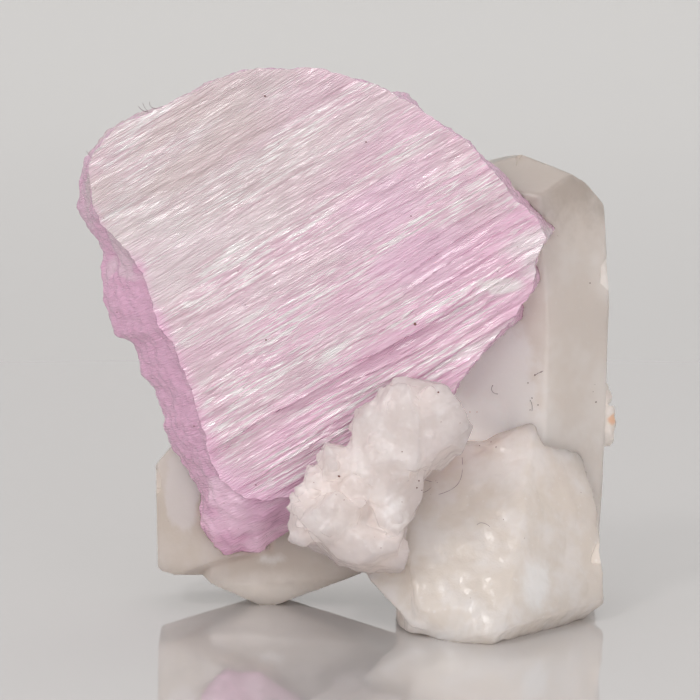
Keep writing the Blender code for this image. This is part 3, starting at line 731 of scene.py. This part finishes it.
leftQuartz = {
    "finish": "brownQuartz", "slot": "smoky_quartz", "node": "left_quartz_crystals",
    "voxel": 0.20, "smooth": 1, "layers": (("CLOUDS", 2.2, 0.08), ("CLOUDS", 0.5, 0.03)),
    "bodies": (
        {
            "low": (-15.18, -0.67, 1.0), "high": (-6.18, 8.33, 14.5),
            "faces": (
                (-14.68, 2.33, 8.0, 180, -1), (-12.68, 0.53, 8.0, -118, 2), (-12.8, 2.33, 2.4, -172, -76),
                (-12.58, 2.33, 2.1, -60, -64), (-11.18, 7.53, 8.0, 105, 0), (-14.58, 3.33, 10.6, 165, 42),
                (-12.18, 3.33, 13.6, 110, 66),
            ),
        },
        {
            "low": (-11.78, 0.33, 0.0), "high": (6.82, 10.93, 17.0),
            "faces": (
                (-7.08, 2.73, 0.0, -176, -62), (-5.68, 2.73, 0.0, -8, -67), (-6.38, 1.93, 0.0, -90, -34),
                (-6.38, 4.93, 0.0, 88, -38), (-6.18, 0.83, 6.0, -92, 4), (-11.48, 3.83, 6.0, -158, 6),
                (-9.78, 8.53, 6.0, 146, 8), (-3.18, 10.53, 7.0, 86, 10), (-8.18, 6.33, 12.6, 150, 58),
                (-0.18, 9.33, 14.6, 70, 50), (-7.18, 9.73, 5.0, 110, -6), (-2.18, 10.13, 11.0, 98, 20),
                (-11.38, 4.73, 9.0, 176, 16),
            ),
        },
    ),
    "lumps": (),
    "chips": ((-15.1, 1.5, 9.6, 2.2), (-12.1, 7.5, 5.0, 3.0), (-10.1, 9.5, 9.4, 3.2), (-1.2, 11.2, 4.0, 3.4)),
    "seed": 19,
}
paleCrust = {
    "finish": "paleCrust", "slot": "pale_crust", "node": "pale_crystal_cluster",
    "voxel": 0.13, "smooth": 1, "layers": (("CLOUDS", 1.0, 0.14), ("VORONOI", 0.6, -0.10)),
    "blocks": (      # centre and size in mm, turn and tilt in degrees
        ((5.3, -7.9, 15.7), (5.9, 5.0, 6.3), 20, 12), ((4.2, -8.2, 15.4), (5.0, 4.6, 6.0), 50, 20),
        ((6.6, -7.8, 15.4), (3.8, 4.2, 3.2), 10, 15), ((3.2, -8.4, 13.8), (4.2, 4.0, 4.6), 60, 25),
        ((1.9, -7.8, 15.0), (3.8, 3.8, 4.2), -15, 20), ((2.8, -7.8, 17.2), (2.4, 2.6, 2.4), 20, 30),
        ((-1.1, -8.6, 13.0), (2.6, 2.6, 2.5), 10, 12), ((1.2, -8.2, 12.7), (3.6, 3.4, 3.6), 40, 22),
        ((-1.5, -9.5, 9.1), (3.5, 2.6, 3.5), 20, 45), ((-3.4, -7.9, 9.6), (2.0, 2.4, 3.2), 35, 10),
        ((-3.6, -7.6, 7.8), (1.8, 2.2, 1.9), 15, 40), ((-2.2, -7.9, 11.2), (2.4, 2.6, 2.4), 50, 25),
        ((0.4, -8.3, 10.9), (3.4, 3.2, 3.4), 25, 35), ((2.8, -8.6, 11.6), (3.6, 3.2, 3.6), 12, 28),
        ((2.9, -9.0, 9.6), (3.0, 2.4, 3.0), 50, 25), ((0.5, -7.6, 7.0), (6.2, 5.4, 4.0), -12, 12),
        ((2.0, -7.2, 6.1), (3.0, 4.0, 2.8), 18, 12), ((0.6, -6.6, 9.8), (7.0, 5.0, 7.4), 12, 8),
        ((3.8, -6.8, 13.2), (4.2, 4.2, 4.2), 15, 20), ((-2.0, -4.5, 7.0), (3.6, 5.0, 3.0), 0, 18),
        ((1.4, -2.5, 6.4), (4.6, 5.0, 4.2), 8, 20),
        ((3.0, -7.6, 10.2), (3.0, 3.8, 5.6), 20, 5),
    ),
    "grains": 170,
    "grainSize": (0.4, 1.0),
    "grainBlocks": 15,       # the grains sit on the first blocks of the list
    "seed": 5,
}


def facing(azimuth, rise):
    turn, lift = math.radians(azimuth), math.radians(rise)
    return Vector((math.cos(turn) * math.cos(lift), math.sin(turn) * math.cos(lift), math.sin(lift)))


def sliceOff(point, normal):
    bpy.ops.mesh.select_all(action="SELECT")
    bpy.ops.mesh.bisect(plane_co=point, plane_no=normal, use_fill=True, clear_outer=True)


def addCrystal(shape):
    # A cube the size of the crystal, cut back to its natural faces
    low, high = Vector(shape["low"]) * mm, Vector(shape["high"]) * mm
    bpy.ops.object.select_all(action="DESELECT")
    bpy.ops.mesh.primitive_cube_add(size=1, location=(low + high) / 2, scale=high - low)
    crystal = bpy.context.object
    bpy.ops.object.transform_apply(location=True, scale=True)
    bpy.ops.object.mode_set(mode="EDIT")
    for x, y, z, azimuth, rise in shape["faces"]:
        sliceOff((x * mm, y * mm, z * mm), facing(azimuth, rise))
    bpy.ops.object.mode_set(mode="OBJECT")
    return crystal


def addBlock(place, size, turn, tilt, chance, cuts=16):
    # A blunt little crystal: a cube with its corners cut off
    bpy.ops.object.select_all(action="DESELECT")
    bpy.ops.mesh.primitive_cube_add(size=1, location=(0, 0, 0))
    block = bpy.context.object
    bpy.ops.object.mode_set(mode="EDIT")
    for cut in range(cuts):
        normal = facing(chance.uniform(0, 360), chance.uniform(-60, 60))
        sliceOff(normal * chance.uniform(0.45, 0.54), normal)
    bpy.ops.object.mode_set(mode="OBJECT")
    block.scale = [side * mm for side in size]
    block.rotation_euler = (0, math.radians(tilt), math.radians(turn))
    block.location = [part * mm for part in place]
    bpy.ops.object.transform_apply(location=True, rotation=True, scale=True)
    return block


def addBlocks(places, seed):
    chance = random.Random(seed)
    made = []
    for x, y, z, size in places:
        sides = (size, size * chance.uniform(0.6, 0.9), size * chance.uniform(0.8, 1.1))
        made.append(addBlock((x, y, z), sides, chance.uniform(0, 90), chance.uniform(0, 60), chance, 12))
    return made


def joinPieces(parts, name):
    bpy.ops.object.select_all(action="DESELECT")
    for part in parts:
        part.select_set(True)
    bpy.context.view_layer.objects.active = parts[0]
    if len(parts) > 1:
        bpy.ops.object.join()
    parts[0].name = name
    return parts[0]


def cutAway(piece, other, gap):
    # Cuts a piece back to its neighbour's surface, a hair's breadth off it
    cutter = other.copy()
    cutter.data = other.data.copy()
    bpy.context.scene.collection.objects.link(cutter)
    if gap:
        applyModifier(cutter, "DISPLACE", strength=gap * mm, mid_level=0)
    applyModifier(piece, "BOOLEAN", operation="DIFFERENCE", solver="MANIFOLD", object=cutter)
    bpy.data.objects.remove(cutter)


def weather(piece, settings):
    # One skin over all its crystals, with worn edges and a fine relief; the foot stays flat
    applyModifier(piece, "REMESH", mode="VOXEL", voxel_size=settings["voxel"] * mm)
    applyModifier(piece, "SMOOTH", iterations=settings["smooth"])
    for pattern, size, depth in settings["layers"]:
        relief(piece, pattern, size, depth)
    for vertex in piece.data.vertices:
        vertex.co.z = max(vertex.co.z, 0)


def quartzPiece(name, settings, neighbours):
    parts = [addCrystal(shape) for shape in settings["bodies"]] + addBlocks(settings["lumps"], settings["seed"])
    piece = joinPieces(parts, name)
    weather(piece, settings)
    if settings["chips"]:
        chips = joinPieces(addBlocks(settings["chips"], settings["seed"] + 10), "chips")
        cutAway(piece, chips, 0)
        bpy.data.objects.remove(chips)
    for neighbour in neighbours:
        cutAway(piece, neighbour, 0.05)
    finishPiece(piece, finishes[settings["finish"]], settings["slot"], settings["node"])
    return piece


def crustPiece(name, settings, neighbours):
    chance = random.Random(settings["seed"])
    parts = [addBlock(*block, chance) for block in settings["blocks"]]
    for grain in range(settings["grains"]):
        centre, size = settings["blocks"][chance.randrange(settings["grainBlocks"])][:2]
        side = facing(chance.uniform(-200, -70), chance.uniform(-55, 65))
        place = [centre[axis] + side[axis] * size[axis] * 0.48 for axis in range(3)]
        width = chance.uniform(*settings["grainSize"])
        parts.append(addBlock(place, (width, width, width), chance.uniform(0, 90), chance.uniform(0, 60), chance, 4))
    piece = joinPieces(parts, name)
    weather(piece, settings)
    for neighbour in neighbours:
        cutAway(piece, neighbour, 0.05)
    finishPiece(piece, finishes[settings["finish"]], settings["slot"], settings["node"])
    return piece


# Dust and lint

dust = {
    "colours": ((0.045, 0.02, 0.022, 1), (0.30, 0.13, 0.10, 1)),
    "lintColours": ((0.16, 0.14, 0.15, 1), (0.34, 0.25, 0.26, 1)),
    "lintWidth": 0.045,      # mm
    "specks": (              # x and z on the front, and width, in mm
        (4.55, 22.77, 0.27), (-0.98, 12.30, 0.24), (6.20, 18.30, 0.19), (-6.30, 39.49, 0.19),
        (-6.29, 21.59, 0.19), (-11.61, 14.98, 0.15), (4.81, 11.80, 0.15), (4.67, 11.29, 0.15),
        (18.15, 15.60, 0.17), (5.03, 11.07, 0.13), (10.26, 13.13, 0.13), (-7.07, 10.72, 0.13),
        (-17.30, 23.03, 0.15), (4.62, 23.42, 0.10), (4.24, 30.72, 0.13), (0.98, 36.13, 0.13),
        (-6.01, 19.67, 0.10), (7.16, 25.76, 0.11), (5.69, 11.47, 0.10), (3.57, 14.26, 0.10),
        (-8.31, 26.66, 0.10), (4.45, 33.04, 0.09), (10.56, 26.60, 0.09), (-11.54, 31.33, 0.09),
        (3.58, 10.38, 0.10), (1.27, 22.84, 0.09), (-1.19, 11.09, 0.09), (7.76, 16.19, 0.09),
        (-2.79, 11.71, 0.09), (-13.69, 35.27, 0.10), (17.60, 24.67, 0.11), (12.97, 17.57, 0.11),
        (9.25, 15.14, 0.10), (-0.61, 10.68, 0.09), (-18.62, 32.79, 0.10), (6.38, 16.36, 0.09),
        (-7.91, 18.03, 0.09), (2.06, 7.07, 0.11), (-9.45, 9.11, 0.09), (-18.00, 30.58, 0.10),
        (13.48, 18.20, 0.13), (13.91, 18.45, 0.11), (13.27, 16.46, 0.11), (13.71, 15.97, 0.10),
        (13.13, 15.56, 0.10), (8.73, 15.11, 0.10), (9.40, 12.97, 0.10), (10.60, 12.96, 0.12),
    ),
    "scattered": 46,         # finer specks at random places
    "lint": (                # x and z of the points along each fibre, mm
        ((5.10, 10.65), (5.45, 10.72), (5.85, 10.48), (6.30, 10.52)),
        ((5.20, 9.84), (5.55, 9.89), (5.90, 10.24), (6.15, 10.67)),
        ((6.34, 9.75), (7.07, 9.95), (7.70, 10.30), (8.07, 10.90), (8.15, 11.60), (8.10, 12.20)),
        ((9.12, 7.84), (9.35, 8.10), (9.78, 7.98), (10.07, 7.74)),
        ((13.40, 18.12), (13.69, 18.36), (14.06, 18.53)),
        ((13.12, 16.30), (13.34, 16.02), (13.27, 15.49)),
        ((10.41, 17.25), (10.19, 16.93), (10.34, 16.57), (10.78, 16.60)),
    ),
    "lintJump": 0.9,         # mm that the surface may step between two points of a fibre
    "loose": (               # fibres that stand off the top edge, x, y and z in mm
        ((-15.5, -4.6, 38.55), (-15.3, -4.8, 38.30), (-15.0, -4.9, 38.15), (-14.6, -5.0, 38.2)),
        ((-15.2, -4.2, 38.75), (-15.1, -4.5, 38.45), (-14.8, -4.8, 38.2)),
        ((-14.7, -4.0, 38.8), (-14.75, -4.4, 38.55), (-14.5, -4.8, 38.4), (-14.1, -5.0, 38.45)),
        ((-19.3, -4.6, 35.3), (-19.1, -4.8, 35.0), (-18.8, -5.2, 34.8)),
    ),
    "seed": 23,
}


def surfaceAt(x, z, pieces):
    # The frontmost point of the specimen at this x and z in mm, or None
    best = None
    for piece in pieces:
        hit, place = piece.ray_cast(Vector((x * mm, -0.05, z * mm)), Vector((0, 1, 0)))[:2]
        if hit and (best is None or place.y < best.y):
            best = place.copy()
    return best


def dustMaterial(name, colours):
    material, tree, shader, position = newMaterial(name, {"Roughness": 0.8, "Sheen Weight": 0.3})
    cloud = addNode(tree, "TexNoise", (-500, 0), {"Vector": position, "Scale": 300, "Detail": 2})
    setInputs(tree, shader, {"Base Color": addMix(tree, *colours, cloud.outputs["Fac"], (-250, 0))})
    return material


def dustPiece(pieces):
    chance = random.Random(dust["seed"])
    places = list(dust["specks"])
    while len(places) < len(dust["specks"]) + dust["scattered"]:
        places.append((chance.uniform(-18, 19), chance.uniform(3, 40), chance.uniform(0.05, 0.085)))
    specks = []
    for x, z, width in places:
        place = surfaceAt(x, z, pieces)
        if place is None:
            continue
        bpy.ops.object.select_all(action="DESELECT")
        bpy.ops.mesh.primitive_ico_sphere_add(subdivisions=1, radius=width / 2 * mm, location=place)
        speck = bpy.context.object
        speck.scale = [chance.uniform(0.65, 1.1) for axis in range(3)]
        speck.rotation_euler = [chance.uniform(0, 3) for axis in range(3)]
        bpy.ops.object.transform_apply(location=True, rotation=True, scale=True)
        specks.append(speck)
    piece = joinPieces(specks, "dustSpecks")
    finishPiece(piece, dustMaterial("brownDust", dust["colours"]), None, angle=60)


def lintPiece(pieces):
    lines = [[Vector(point) * mm for point in line] for line in dust["loose"]]
    for line in dust["lint"]:
        places = []
        for x, z in line:
            place = surfaceAt(x, z, pieces)
            if place and (not places or abs(place.y - places[-1].y) < dust["lintJump"] * mm):
                places.append(place)
        if len(places) > 2:
            lines.append(places)
    fibres = []
    for places in lines:
        bpy.ops.object.select_all(action="DESELECT")
        bpy.ops.mesh.primitive_circle_add(vertices=len(places) + 1, radius=0.001, location=(0, 0, 0))
        fibre = bpy.context.object
        bpy.ops.object.mode_set(mode="EDIT")
        bpy.ops.mesh.select_all(action="DESELECT")
        bpy.ops.object.mode_set(mode="OBJECT")
        fibre.data.vertices[len(places)].select = True
        bpy.ops.object.mode_set(mode="EDIT")
        bpy.ops.mesh.delete(type="VERT")
        bpy.ops.object.mode_set(mode="OBJECT")
        for vertex, place in zip(fibre.data.vertices, places):
            vertex.co = place
        onlySelect(fibre)
        bpy.ops.object.convert(target="CURVE")
        fibre.data.splines[0].type = "NURBS"
        fibre.data.splines[0].use_endpoint_u = True
        fibre.data.bevel_depth = dust["lintWidth"] / 2 * mm
        fibre.data.bevel_resolution = 0
        fibre.data.use_fill_caps = True
        bpy.ops.object.convert(target="MESH")
        fibres.append(fibre)
    piece = joinPieces(fibres, "lintFibres")
    finishPiece(piece, dustMaterial("greyLint", dust["lintColours"]), None, angle=60)


bpy.context.scene.view_settings.view_transform = "Standard"
addCamera()
addStudio()
print("camera and studio ready")
finishes = {name: quartzMaterial(name) for name in quartzLooks}
kunzite = kunziteBlade(kunziteMaterial())
large = quartzPiece("largeQuartz", largeQuartz, [kunzite])
base = quartzPiece("baseQuartz", baseQuartz, [large])
left = quartzPiece("leftQuartz", leftQuartz, [kunzite, large, base])
crust = crustPiece("paleCrust", paleCrust, [kunzite, large, base, left])
dustPiece([kunzite, large, base, left, crust])
lintPiece([kunzite, large, base, left, crust])
